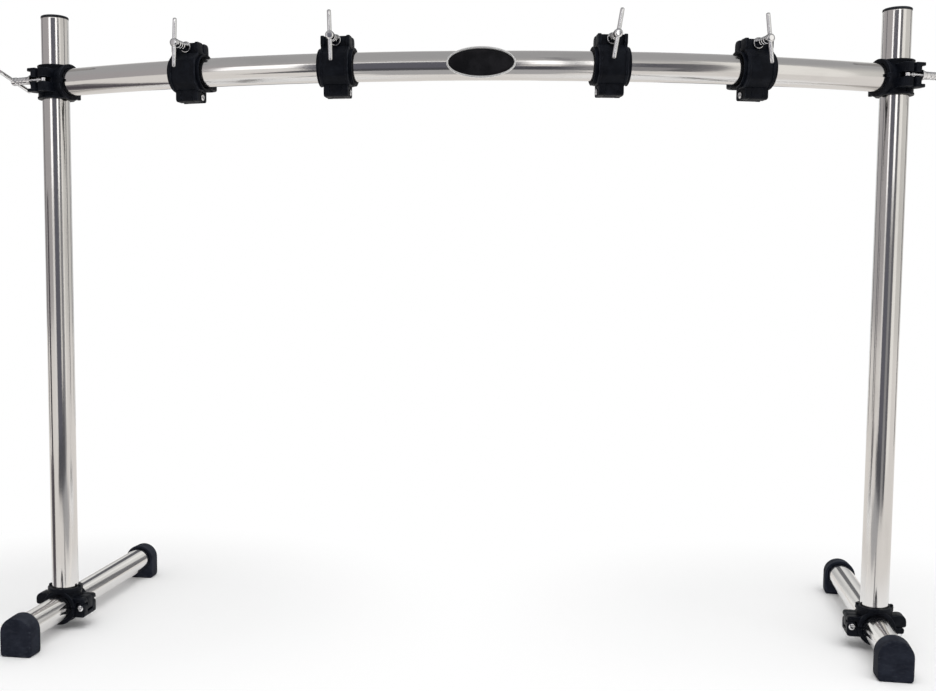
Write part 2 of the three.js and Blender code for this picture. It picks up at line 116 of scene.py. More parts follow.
def roundCorners(corners, radius, steps=5, closed=True):
    # each corner becomes an arc that touches both of its sides; an open line keeps its two ends
    p = np.asarray(corners, float)
    r = np.broadcast_to(np.asarray(radius, float), len(p))
    before, after = unit(np.roll(p, 1, 0) - p), unit(np.roll(p, -1, 0) - p)
    half = 0.5 * np.arccos(np.clip((before * after).sum(1), -limits["straight"], limits["straight"]))
    a = before * (r / np.tan(half))[:, None]
    centre = unit(before + after) * (r / np.sin(half))[:, None]
    start = a - centre
    finish = after * (r / np.tan(half))[:, None] - centre
    turn = np.arctan2(start[:, 0] * finish[:, 1] - start[:, 1] * finish[:, 0], (start * finish).sum(1))
    t = np.linspace(0, 1, steps)
    angle = np.arctan2(start[:, 1], start[:, 0])[:, None] + turn[:, None] * t
    arcs = (p + centre)[:, None] + r[:, None, None] * np.stack([np.cos(angle), np.sin(angle)], -1)
    wear = np.broadcast_to(np.sin(math.pi * t), (len(p), steps)).copy()
    if not closed:
        arcs, wear = arcs[1:-1], wear[1:-1]
        return (np.vstack([p[:1], arcs.reshape(-1, 2), p[-1:]]),
                np.concatenate([[0.0], wear.reshape(-1), [0.0]]))
    return arcs.reshape(-1, 2), wear.reshape(-1)


def arc(radius, start, end, steps):
    a = np.radians(np.linspace(start, end, steps))
    return radius * np.stack([np.cos(a), np.sin(a)], -1)


def outlined(rows):
    # rows of (x, y, corner radius) as corners and radii
    table = np.array(rows, float)
    return table[:, :2], table[:, 2]


def prism(outline, low, high, edge, steps=4):
    # a flat outline carried along Z; near both ends it shrinks by edge * (1 - sin t) as t turns a quarter
    area = 0.5 * (outline[:, 0] * np.roll(outline[:, 1], -1) - outline[:, 1] * np.roll(outline[:, 0], -1)).sum()
    line = outline if area > 0 else outline[::-1]
    after = unit(np.roll(line, -1, 0) - line + limits["tiny"])
    before = np.roll(after, 1, 0)
    normal = np.stack([after[:, 1] + before[:, 1], -after[:, 0] - before[:, 0]], -1)
    normal = normal / np.maximum((normal * normal).sum(1, keepdims=True) / 2, limits["mitre"])
    t = np.linspace(0, math.pi / 2, steps)
    inset = np.concatenate([edge * (1 - np.sin(t)), edge * (1 - np.sin(t[::-1]))])
    z = np.concatenate([low + edge * (1 - np.cos(t)), high - edge * (1 - np.cos(t[::-1]))])
    wear = np.concatenate([np.sin(2 * t), np.sin(2 * t[::-1])])
    points = np.empty((len(z), len(line), 3))
    points[..., :2] = line[None] - inset[:, None, None] * normal[None]
    points[..., 2] = z[:, None]
    return closedGrid(points, wear[:, None])


def block(corners, radius, low, high, edge=0.8):
    return prism(roundCorners(corners, radius)[0], low, high, edge)


def twoBlocks(corners, radius, near, far, edge=0.8):
    # one block from near to far above the middle, and its like below it
    return block(corners, radius, near, far, edge) + block(corners, radius, -far, -near, edge)


axisOrder = {"x": (1, 2, 0), "y": (2, 0, 1), "z": (0, 1, 2)}


def lathe(profile, axis="z", at=(0, 0, 0), sides=48, hollow=False, wear=0.0):
    # profile of (along, radius) turned about an axis: side = r cos u, up = r sin u, along = s
    side, up, along = axisOrder[axis]
    u = wholeTurn(sides)
    points = np.empty((len(profile), sides, 3))
    points[..., side] = profile[:, 1:2] * np.cos(u)
    points[..., up] = profile[:, 1:2] * np.sin(u)
    points[..., along] = profile[:, 0:1]
    return closedGrid(points + np.asarray(at, float), np.reshape(wear, (-1, 1)), loopRows=hollow)


def turnedRod(rows, axis="z", at=(0, 0, 0), sides=48, steps=5):
    # a solid turned piece from rows of (along, radius, corner): its profile starts and ends close to the axis
    line, wear = roundCorners(*outlined(rows), steps, closed=False)
    return lathe(line, axis, at, sides, wear=wear)


def turnedRing(low, high, inner, outer, radius, axis, at=(0, 0, 0), sides=64):
    # a square section between two lengths and two radii, turned about an axis
    line, wear = roundCorners([(low, inner), (low, outer), (high, outer), (high, inner)], radius)
    return lathe(line, axis, at, sides, hollow=True, wear=wear)


def sector(corners, radius, start, end, steps=40):
    # a profile of (z, r) swept part of the way round Z: x = r cos a, y = r sin a, with flat ends
    line, wear = roundCorners(corners, radius, steps=4)
    a = np.radians(np.linspace(start, end, steps))[:, None]
    points = np.stack([line[None, :, 1] * np.cos(a), line[None, :, 1] * np.sin(a),
                       np.broadcast_to(line[None, :, 0], (steps, len(line)))], -1)
    return closedGrid(points, wear[None])


def linked(name, data):
    made = bpy.data.objects.new(name, data)
    bpy.context.scene.collection.objects.link(made)
    return made


# frames that place the shells
def clampFrame(origin, xAxis, yAxis):
    x, y = np.asarray(xAxis, float), np.asarray(yAxis, float)
    place = np.eye(4)
    place[:3, 0], place[:3, 1], place[:3, 2], place[:3, 3] = x, y, np.cross(x, y), origin
    return place


def movedBy(*offset):
    place = np.eye(4)
    place[:3, 3] = offset
    return place


def turnedX(degrees, at=(0, 0, 0)):
    c, s = math.cos(math.radians(degrees)), math.sin(math.radians(degrees))
    place = movedBy(*at)
    place[:3, :3] = [[1, 0, 0], [0, c, -s], [0, s, c]]
    return place


# tubes: a ring of (along, radius) carried along a path, centre + r * (cos u * side + sin u * up)
tube = {"lip": 0.5, "lipSteps": 5, "rowInset": 2.0, "sides": 96, "barRows": 150, "uprightRows": 40, "footRows": 24}


def tubeShell(start, end, pathAt, rows):
    radius, wall = rack["tubeRadius"], rack["tubeRadius"] - rack["tubeWall"]
    ring, wear = roundCorners([(start, wall), (start, radius), (end, radius), (end, wall)], tube["lip"],
                              tube["lipSteps"])
    half = 2 * tube["lipSteps"]
    outer = np.linspace(start + tube["rowInset"], end - tube["rowInset"], rows)
    between = np.stack([outer, np.full(rows, radius)], -1)
    inside = np.stack([outer[::-1], np.full(rows, wall)], -1)
    line = np.vstack([ring[:half], between, ring[half:], inside])
    wear = np.concatenate([wear[:half], np.zeros(rows), wear[half:], np.zeros(rows)])
    centre, side, up = pathAt(line[:, 0])
    u = wholeTurn(tube["sides"])[None, :, None]
    r = line[:, 1][:, None, None]
    points = centre[:, None] + r * (np.cos(u) * side[:, None] + np.sin(u) * up[:, None])
    flow = np.empty_like(points)
    flow[..., 0] = line[:, 0:1]
    flow[..., 1:] = r * np.concatenate([np.cos(u), np.sin(u)], -1)
    return closedGrid(points, wear[:, None], loopRows=True, flow=flow)


def straightPath(origin, direction, side):
    along, across = np.asarray(direction, float), np.asarray(side, float)

    def pathAt(s):
        rows = np.ones((len(s), 1))
        return origin + s[:, None] * along, rows * across, rows * np.cross(along, across)
    return pathAt


def barPath(s):
    # one arc of barRadius, then a short straight length at each end; s is zero at the middle
    reach = barRadius * endAngle
    onArc = np.clip(s, -reach, reach)
    angle, past = onArc / barRadius, s - onArc
    c, d, zero = np.cos(angle), np.sin(angle), np.zeros(len(s))
    centre = np.stack([barRadius * d + past * c, arcCentre - barRadius * c + past * d,
                       zero + rack["barHeight"]], -1)
    return centre, np.stack([-d, c, zero], -1), np.stack([zero, zero, zero + 1], -1)


# clamp shapes share one local frame: the crossing tube lies along Z, the other tube or the socket
# along +X, the hinge at +Y and the closing bolt at -Y; the two halves part at x = 0, and what stands
# on a collar starts inside its wall. Outlines are rows of (x, y, corner radius) in this frame
clamp = {
    "bore": 19.4, "slideBore": 19.7, "halfTurn": 88.3, "hingeAt": 32.6, "hingeReach": 19.2, "slideHinge": 16.4,
    "blockDepth": 14.2, "boltAt": 33.0, "eyeSetback": 7.0, "slot": 3.5, "seat": 20.0,
}


def halfTurn(front):
    # the angles where one half of a collar starts and ends; the front half lies about -X
    middle = 180 if front else 0
    return middle - clamp["halfTurn"], middle + clamp["halfTurn"]


# collar walls, alike at both ends: rows of (z, radius, corner radius) from the bore outwards
collars = {
    "joint": ((23.5, 19.4, 0.7), (23.5, 25.3, 0.7), (20.9, 25.3, 0.7), (20.1, 24.3, 0.7), (6.6, 24.3, 0.7),
              (5.6, 25.6, 0.7)),
    "slider": ((20.6, 19.7, 0.8), (22.6, 21.7, 1.0), (24.0, 24.2, 0.4), (23.4, 24.9, 0.4), (21.4, 24.0, 1.0),
               (19.0, 23.9, 1.0)),
}


def halfCollar(kind, front):
    # a wall swept round one half of the tube: raised rims and a belt, or cupped ends that flare to a thin lip
    upper = np.array(collars[kind])
    lower = upper * [-1, 1, 1]
    rows = np.vstack([lower[:1], upper, lower[:0:-1]])
    return sector(rows[:, :2], rows[:, 2], *halfTurn(front))


hinge = {"half": 8.0, "edge": 0.4, "gap": 0.4,
         "finger": ((0, 18.0, 0.8), (0.6, 18.0, 0.4), (0.6, 26.5, 0.4), (-6.5, 26.1, 5.6), (-6.5, 39.1, 5.6),
                    (0, 39.1, 4.0)),
         "pocket": ((0, 18.0, 0.8), (0.6, 18.0, 0.4), (0.6, 24.7, 0.6), (7.4, 25.7, 0.6), (7.4, 39.1, 1.0),
                    (0, 39.1, 4.0))}


def hingeBlock(front, depth, reach):
    # barrel hinge in a square block: fingers of one half run into a pocket of the other. The first and
    # last corners lie at the block's depth, and the front half is the mirror image
    outlines = []
    for kind in ("pocket", "finger") if front else ("finger", "pocket"):
        corners, corner = outlined(hinge[kind])
        corners[[0, -1], 0] = depth
        outlines.append((corners * [-1 if front else 1, 1], corner))
    middle, outer = outlines
    half = hinge["half"]
    return block(*middle, -half, half, hinge["edge"]) + twoBlocks(*outer, half + hinge["gap"], reach)


web = {"overlap": 0.5, "edge": 0.1}
ears = {"half": 16.2, "slideHalf": 19.0,
        "cheek": ((0.6, -18.0, 0.6), (0.6, -39.4, 2.6), (14.4, -39.4, 5.6), (15.6, -18.0, 0.6)),
        "web": ((0.6, -18.0, 0.6), (0.6, -26.4, 0.6), (14.4, -26.4, 2.0), (15.6, -18.0, 0.6))}


def webBetween(rows):
    near = clamp["slot"] + web["overlap"]
    return block(*outlined(rows), -near, near, web["edge"])


def boltEars(half):
    # two cheeks that hold the eye of the swing bolt, joined by a web
    return twoBlocks(*outlined(ears["cheek"]), clamp["slot"], half) + webBetween(ears["web"])


fork = {
    "half": 16.5, "wideHalf": 19.5, "lip": 4.4, "lipOverlap": 0.6,
    "prong": ((-0.6, -18.0, 0.6), (-0.6, -26.4, 0.6), (-3.2, -28.4, 0.8), (-3.4, -38.8, 1.6), (-12.0, -39.0, 1.4),
              (-13.0, -33.0, 4.0), (-12.6, -27.0, 1.0), (-13.6, -18.0, 0.6)),
    "lips": ((-0.6, -18.0, 0.6), (-0.6, -26.4, 0.6), (-3.2, -28.4, 0.8), (-3.4, -39.0, 2.4), (-18.8, -39.0, 2.6),
             (-18.8, -27.6, 2.4), (-14.6, -20.0, 1.4), (-13.0, -18.0, 0.6)),
    "web": ((-0.6, -18.0, 0.6), (-0.6, -25.6, 0.6), (-12.8, -25.6, 0.8), (-13.4, -18.0, 0.6)),
}


def boltFork(half):
    # two prongs with the nut's seat between raised lips, on a web down to the collar
    lip = half - fork["lip"]
    return (twoBlocks(*outlined(fork["prong"]), clamp["slot"], lip + fork["lipOverlap"])
            + twoBlocks(*outlined(fork["lips"]), lip, half) + webBetween(fork["web"]))


# rows are (along, radius, corner radius); each nub's tip reaches past the flange by its own amount
socket = {"rootRadius": 22.0, "rootLeast": 0.75, "rowInset": 4.0, "rowCount": 10, "steps": 5, "sides": 96,
          "rows": ((0.0, 19.4, 0.05), (0.0, 23.6, 0.05), (22.0, 23.6, 0.5), (22.8, 25.2, 0.6), (28.0, 25.2, 0.8),
                   (28.0, 19.4, 0.6))}
nub = {"half": 2.6, "edge": 0.5, "tips": {0: 2.6, 180: 2.6, 90: 0.5, 270: 0.5},
       "rows": ((22.0, 22.6, 0.4), (28.0, 21.0, 0.4), (28.0, 25.0, 1.0), (23.0, 25.6, 0.6))}


def socketShell():
    # round socket along +X; its root follows the collar: x = sqrt(mid^2 - (r cos u)^2)
    inset, count, k = socket["rowInset"], socket["rowCount"], socket["steps"]
    reach, inner, outer = socket["rows"][-1][0], socket["rows"][0][1], socket["rows"][1][1]
    rows, wear = roundCorners(*outlined(socket["rows"]), k)
    extra = np.stack([np.linspace(inset, reach - 2 * inset, count), np.full(count, outer)], -1)
    back = np.stack([np.linspace(reach - inset, inset, count), np.full(count, inner)], -1)
    rows = np.vstack([rows[k:2 * k], extra, rows[2 * k:], back, rows[:k]])
    wear = np.concatenate([np.zeros(k + count), wear[2 * k:], np.zeros(count + k)])
    u = wholeTurn(socket["sides"])
    y, z = rows[:, 1:2] * np.cos(u), rows[:, 1:2] * np.sin(u)
    root = np.sqrt(np.maximum(socket["rootRadius"] ** 2 - y ** 2, socket["rootLeast"] ** 2))
    shape = closedGrid(np.stack([np.maximum(rows[:, 0:1], root), y, z], -1), wear[:, None], loopRows=True)
    for turn, tip in nub["tips"].items():
        corners, corner = outlined(nub["rows"])
        corners[1:3, 0] += tip
        shape = shape + block(corners, corner, -nub["half"], nub["half"], nub["edge"]).carried(turnedX(turn))
    return shape


# lobes that the key bolt draws together on a base clamp
lobe = {"half": 11.0, "edge": 1.4,
        "body": ((0.6, -18.0, 0.6), (0.6, -41.6, 3.4), (17.6, -41.6, 8.2), (17.6, -30.0, 6.0), (15.0, -18.0, 0.6)),
        "jaw": ((-0.6, -18.0, 0.6), (-0.6, -39.2, 2.6), (-9.0, -39.2, 3.4), (-9.0, -30.0, 2.0), (-11.0, -20.0, 1.0),
                (-9.0, -18.0, 0.6))}


def keyLobe(part):
    return block(*outlined(lobe[part]), -lobe["half"], lobe["half"], lobe["edge"])


def joinBody(closer):
    shape = halfCollar("joint", False) + socketShell() + hingeBlock(False, clamp["blockDepth"], clamp["hingeReach"])
    return shape + (boltEars(ears["half"]) if closer == "swing" else keyLobe("body"))


def joinJaw(closer):
    shape = halfCollar("joint", True) + hingeBlock(True, clamp["blockDepth"], clamp["hingeReach"])
    return shape + (boltFork(fork["half"]) if closer == "swing" else keyLobe("jaw"))


slider = {
    "plateHalf": 19.5, "plateEdge": 1.0, "boreGap": 0.3, "arcSteps": 33, "blockInset": 1.6,
    "borderWidth": 4.0, "borderInset": 0.6, "borderEdge": 0.6,
    "bossAt": 43.0, "bossRadius": 14.5, "bossHalf": 16.5, "bossBore": 9.8, "bossRound": (1.0, 1.4, 1.4, 1.0),
    "armNear": 20.6, "armFar": 32.4, "armHalf": 9.0, "armRound": 0.6, "armEdge": 1.2,
    "padSink": 3.2, "padHeight": 4.6, "padBore": 3.35, "padRadius": 6.8, "padRound": 0.6, "padSides": 40,
    "front": ((-0.6, -25.4, 1.0), (-15.0, -25.4, 4.0), (-26.0, -14.0, 5.0), (-27.0, -6.0, 6.0), (-27.0, 8.0, 6.0),
              (-26.0, 15.0, 5.0), (-15.0, 24.6, 4.0), (-0.6, 24.6, 1.0)),
    "border": ((-3.0, -26.4, 0.8), (-15.4, -26.4, 4.0), (-27.2, -14.4, 5.0), (-28.2, -6.0, 6.0), (-28.2, 8.0, 6.0),
               (-27.2, 15.4, 5.0), (-15.4, 25.6, 4.0), (-3.0, 25.6, 0.8), (-3.0, 21.6, 0.8), (-15.0, 19.0, 2.0),
               (-24.0, 10.0, 4.0), (-24.0, -10.0, 4.0), (-15.0, -19.0, 2.0), (-3.0, -21.6, 0.8)),
    "rear": ((0.6, 22.6, 1.0), (14.0, 22.6, 4.0), (22.8, 13.0, 5.0), (22.8, -13.0, 5.0), (14.0, -22.6, 4.0),
             (0.6, -22.6, 1.0)),
}


def platedHalf(front, rows):
    # flared collar with a plate over its middle: the outline outside, the collar's bore inside
    outer, _ = roundCorners(*outlined(rows), closed=False)
    inner = arc(clamp["slideBore"] + slider["boreGap"], *halfTurn(front), slider["arcSteps"])
    half = slider["plateHalf"]
    return halfCollar("slider", front) + prism(np.vstack([outer, inner]), -half, half, slider["plateEdge"])


def sliderFront():
    # flat-fronted plate with a raised border towards both ends, hinge block and fork
    s, half = slider, slider["plateHalf"]
    border = twoBlocks(*outlined(s["border"]), half - s["borderWidth"], half - s["borderInset"], s["borderEdge"])
    return (platedHalf(True, s["front"]) + border
            + hingeBlock(True, clamp["blockDepth"], clamp["slideHinge"]) + boltFork(fork["wideHalf"]))


def sliderRear():
    # rear plate, and an upright round socket on an arm with a screw pad
    s, w = slider, slider["armHalf"]
    boss = turnedRing(-s["bossHalf"], s["bossHalf"], s["bossBore"], s["bossRadius"], s["bossRound"], "y",
                      (s["bossAt"], 0, 0))
    arm = block([(s["armNear"], -w), (s["armFar"], -w), (s["armFar"], w), (s["armNear"], w)], s["armRound"], -w, w,
                s["armEdge"])
    low = s["bossAt"] + s["bossRadius"] - s["padSink"]
    pad = turnedRing(low, low + s["padHeight"], s["padBore"], s["padRadius"], s["padRound"], "x",
                     sides=s["padSides"])
    return (platedHalf(False, s["rear"]) + boss + arm + pad
            + hingeBlock(False, clamp["blockDepth"] - s["blockInset"], clamp["slideHinge"])
            + boltEars(ears["slideHalf"]))


# small turned and formed pieces: profiles are rows of (along, radius, corner radius); the nut's seat and
# the bolt's eye lie at their own origins
hardware = {
    "pitch": 1.5, "threadDepth": 0.42, "rowsPerTurn": 8, "threadSides": 28, "threadFade": 2.0, "tipShare": 0.72,
    "tipRise": 0.35, "boltRadius": 2.9, "boltStart": -4.0, "boltLength": 42.0, "rodAt": 32.0, "rodSides": 32,
    "headSides": 40, "square": 3.2, "squareRound": 0.7, "keyHead": (-20.0, -13.6), "screwHead": (24.8, 31.2),
    "pin": ((-1.2, 0.3, 0.1), (-1.2, 2.8, 0.3), (0.0, 2.8, 0.1), (0.0, 4.6, 0.4), (0.99, 4.6, 0.8),
            (1.8, 2.852, 0.9), (1.8, 1.9, 0.5), (0.8, 1.5, 0.3), (0.8, 0.3, 0.1)),
    "eye": ((-2.9, 0.3, 0.1), (-2.9, 3.5, 1.0), (2.9, 3.5, 1.0), (2.9, 0.3, 0.1)),
    "nut": ((-36.0, 0.3, 0.1), (-36.0, 3.6, 1.4), (-34.4, 5.7, 2.0), (-28.0, 5.7, 2.0), (-26.4, 4.5, 0.9),
            (-24.0, 4.5, 0.9), (-23.2, 5.2, 0.3), (-20.8, 5.2, 0.3), (-20.1, 4.65, 0.3), (-18.7, 4.65, 0.3),
            (-18.0, 5.2, 0.3), (-15.4, 5.2, 0.3), (-14.7, 4.65, 0.3), (-13.3, 4.65, 0.3), (-12.6, 5.2, 0.3),
            (-8.0, 5.2, 2.0), (-5.2, 6.1, 1.2), (-2.6, 6.4, 0.2), (-2.6, 7.5, 0.8), (0.0, 7.5, 0.7),
            (0.0, 3.4, 0.3), (-0.6, 0.3, 0.1)),
    "rod": ((-32.0, 0.3, 0.1), (-32.0, 2.538, 1.8), (-24.0, 2.7, 1.0), (24.0, 2.7, 1.0), (32.0, 2.538, 1.8),
            (32.0, 0.3, 0.1)),
    "key": ((-14.2, 0.3, 0.1), (-14.2, 5.0, 0.4), (-13.2, 5.6, 0.4), (-9.4, 5.6, 0.4), (-9.4, 2.9, 0.3),
            (10.8, 2.9, 0.5), (10.8, 0.3, 0.1)),
    "screw": ((12.4, 0.3, 0.1), (12.4, 2.6, 0.5), (13.4, 3.0, 0.4), (22.2, 3.0, 0.3), (22.2, 5.4, 0.5),
              (25.4, 5.4, 0.5), (25.4, 0.3, 0.1)),
}


def threadedRod(start, end, radius):
    # helical groove: r = radius - depth * (1 + cos(2 pi s / pitch - u)) / 2, faded out at both ends
    h = hardware
    rows = int((end - start) / h["pitch"] * h["rowsPerTurn"])
    s = np.linspace(start, end, rows)[:, None]
    u = wholeTurn(h["threadSides"])[None]
    fromEnd = np.minimum(s - start, end - s)
    fade = np.clip(fromEnd / h["threadFade"], 0, 1)
    r = radius - h["threadDepth"] * fade * (1 + np.cos(2 * math.pi * s / h["pitch"] - u)) / 2
    r = r * np.clip(h["tipShare"] + fromEnd * h["tipRise"], h["tipShare"], 1)
    points = np.stack([s + u * 0, r * np.cos(u), r * np.sin(u)], -1)
    return closedGrid(points, np.zeros((rows, 1)))


def hingePin(reach):
    # tubular rivet: only the two set heads stand outside the fingers
    line, wear = roundCorners(*outlined(hardware["pin"]), closed=False)
    sides = hardware["headSides"]
    top = lathe(line + [reach, 0.0], sides=sides, wear=wear)
    return top + lathe(line[::-1] * [-1, 1] - [reach, 0.0], sides=sides, wear=wear[::-1])


def swingBolt():
    h = hardware
    return turnedRod(h["eye"]) + threadedRod(-h["boltLength"], h["boltStart"], h["boltRadius"])


def wingNut():
    # flange, waisted barrel with three turned rings, round hub, and the cross rod through it
    h = hardware
    return turnedRod(h["nut"], "x", steps=4) + turnedRod(h["rod"], "z", (-h["rodAt"], 0, 0), h["rodSides"])


def squareHead(start, end):
    q, corner = hardware["square"], hardware["squareRound"]
    up = block([(-q, -q), (q, -q), (q, q), (-q, q)], corner, start, end, corner)
    return Shell(up.points[:, [2, 0, 1]], up.faces, up.wear)


def headedScrew(kind):
    # turned body along +X under a square head
    return (turnedRod(hardware[kind], "x", sides=hardware["headSides"])
            + squareHead(*hardware[kind + "Head"]))


cap = {"rim": 19.3, "domeFoot": 3.4, "domeRise": 1.0, "domeInset": 1.2, "centre": 0.4, "rows": 14, "sides": 72,
       "plug": ((-14.0, 0.4, 0.1), (-14.0, 16.5, 1.4), (0.4, 16.5, 0.2), (0.4, 19.3, 0.2), (3.2, 19.3, 0.9),
                (3.6, 17.7, 0.2))}


def endCap():
    # plug, thin rim over the tube's edge and a low dome: height falls with the fifth power of the radius
    r = np.linspace(cap["rim"] - cap["domeInset"], cap["centre"], cap["rows"])
    top = np.stack([cap["domeFoot"] + cap["domeRise"] * (1 - (r / cap["rim"]) ** 5), r], -1)
    low, wear = roundCorners(*outlined(cap["plug"]), closed=False)
    return lathe(np.vstack([low[:-1], top]), sides=cap["sides"],
                 wear=np.concatenate([wear[:-1], np.zeros(cap["rows"])]))


# faceRows, mouthRows and endRows are (first, last, count), as shares of the width that they cross
foot = {"halfWidth": 23.5, "height": 32.5, "depth": 27.0, "wall": 4.0, "edge": 2.2, "mouthEdge": 0.9, "power": 13.0,
        "taper": 0.045, "taperPower": 0.8, "sides": 208, "edgeRows": 7, "sideRows": 10, "sideInset": (1.5, 2.0),
        "faceRows": (0.02, 0.97, 9), "mouthRows": (0.12, 0.94, 6), "endRows": (0.9, 0.02, 4), "boreRows": 5,
        "boreInset": 0.5}


def rubberFoot():
    # D section about the tube's axis: round above, and below it the soft minimum of side and floor,
    # r = ((|cos| / width)^p + (|sin| / height)^p)^(-1/p), carried from the closed face to the mouth
    f, p = foot, foot["power"]
    u = wholeTurn(f["sides"])[None]
    c, s = np.cos(u), np.sin(u)
    t = np.linspace(0, math.pi / 2, f["edgeRows"])
    e, m, deep, side = f["edge"], f["mouthEdge"], f["depth"], np.zeros(f["sideRows"])
    shrink = np.concatenate([e * (1 - np.sin(t)), side, m * (1 - np.cos(t[1:]))])
    along = np.concatenate([e * (1 - np.cos(t)),
                            np.linspace(e + f["sideInset"][0], deep - f["sideInset"][1], f["sideRows"]),
                            deep - m + m * np.sin(t[1:])])
    share = 1 - f["taper"] + f["taper"] * np.clip(along / deep, 0, 1) ** f["taperPower"]
    width = (f["halfWidth"] * share - shrink)[:, None]
    height = f["height"] - shrink[:, None]
    lower = ((np.abs(c) / width) ** p + (np.abs(s) / height) ** p) ** (-1 / p)
    r = np.where(s < 0, lower, width)
    bore = np.full_like(u, clamp["bore"])
    face, mouth, end = (np.linspace(*f[rows])[:, None] for rows in ("faceRows", "mouthRows", "endRows"))
    radius = np.vstack([face * r[:1], r, r[-1:] + (bore - r[-1:]) * mouth, np.repeat(bore, f["boreRows"], 0),
                        end * bore])
    y = np.concatenate([np.zeros(len(face)), along, np.full(len(mouth), deep),
                        np.linspace(deep - f["boreInset"], f["wall"], f["boreRows"]), np.full(len(end), f["wall"])])
    wear = np.concatenate([np.zeros(len(face)), np.sin(2 * t), side, np.sin(2 * t[1:]),
                           np.zeros(len(mouth) + f["boreRows"] + len(end))])
    points = np.stack([radius * c, np.broadcast_to(y[:, None], radius.shape), radius * s + f["height"]], -1)
    return closedGrid(points[:, ::-1], wear[:, None])


badge = {"angle": 0.85, "halfWidth": 45.0, "halfHeight": 20.0, "thick": 2.4, "rimWidth": 2.6, "rimThick": 3.4,
         "rimRound": (0.3, 0.9, 0.9, 0.3), "seat": 3.2, "gap": 0.3, "domeFall": 0.6, "faceRows": 14, "centre": 0.04,
         "backInsets": (0.0, 8.0, 16.9), "sides": 144, "padHalf": 26.0, "padHeight": 12.0, "padOverlap": 0.2,
         "padRows": 9, "padColumns": 17}
badgeFront = -rack["tubeRadius"] - badge["seat"]


def ovalRows(inset, y):
    # ellipse rows: each row lies a given inset inside the badge's outline, at its own depth
    u = wholeTurn(badge["sides"])[None]
    a, b = badge["halfWidth"] - inset[:, None], badge["halfHeight"] - inset[:, None]
    return np.stack([a * np.cos(u), np.broadcast_to(y[:, None], (len(y), badge["sides"])), b * np.sin(u)], -1)


def badgeRim():
    out, w = badgeFront - badge["rimThick"], badge["rimWidth"]
    line, wear = roundCorners([(0.0, badgeFront), (0.0, out), (w, out), (w, badgeFront)], badge["rimRound"])
    return closedGrid(ovalRows(line[:, 0], line[:, 1])[:, ::-1], wear[:, None], loopRows=True)


def badgePlate():
    # domed oval face, and a pad whose back follows the tube: y = -sqrt(R^2 - z^2)
    inner = badge["rimWidth"] + badge["gap"]
    share = np.linspace(badge["centre"], 1, badge["faceRows"])[:, None]
    dome = badgeFront - badge["thick"] + badge["domeFall"] * share ** 2 - badge["gap"]
    u = wholeTurn(badge["sides"])[None]
    face = np.stack([(badge["halfWidth"] - inner) * share * np.cos(u), dome + 0 * u,
                     (badge["halfHeight"] - inner) * share * np.sin(u)], -1)
    insets = inner + np.array(badge["backInsets"])
    oval = np.concatenate([face, ovalRows(insets, np.full(len(insets), badgeFront))])
    z, turn = badge["padHeight"], rack["tubeRadius"] + badge["gap"]
    w = np.linspace(-z, z, badge["padColumns"])
    edge = np.concatenate([np.stack([w, np.full(len(w), badgeFront + badge["padOverlap"])], -1),
                           np.stack([w[::-1], -np.sqrt(turn ** 2 - w[::-1] ** 2)], -1)])
    across = np.linspace(-badge["padHalf"], badge["padHalf"], badge["padRows"])[:, None]
    pad = np.stack([across + 0 * edge[:, 1], edge[:, 1] + 0 * across, edge[:, 0] + 0 * across], -1)
    return closedGrid(oval, np.zeros((len(oval), 1))) + closedGrid(pad[:, ::-1], np.zeros((len(pad), 1)))


# shader arithmetic: a wire is a socket that takes part in plain expressions
class Wire:
    def __init__(self, finish, socket):
        self.finish = finish
        self.socket = socket

    def output(self, index):
        return Wire(self.finish, self.socket.node.outputs[index])

    def maths(self, operation, *values):
        return self.finish.node("ShaderNodeMath", {"operation": operation}, dict(enumerate(values)))

    def __add__(self, other):
        return self.maths("ADD", self, other)

    def __sub__(self, other):
        return self.maths("SUBTRACT", self, other)

    def __rsub__(self, other):
        return self.maths("SUBTRACT", other, self)

    def __mul__(self, other):
        return self.maths("MULTIPLY", self, other)

    __radd__, __rmul__ = __add__, __mul__

    def step(self, low, high):
        # smooth rise from 0 at low to 1 at high
        return self.finish.node("ShaderNodeMapRange", {"interpolation_type": "SMOOTHSTEP"},
                                {"Value": self, "From Min": low, "From Max": high})


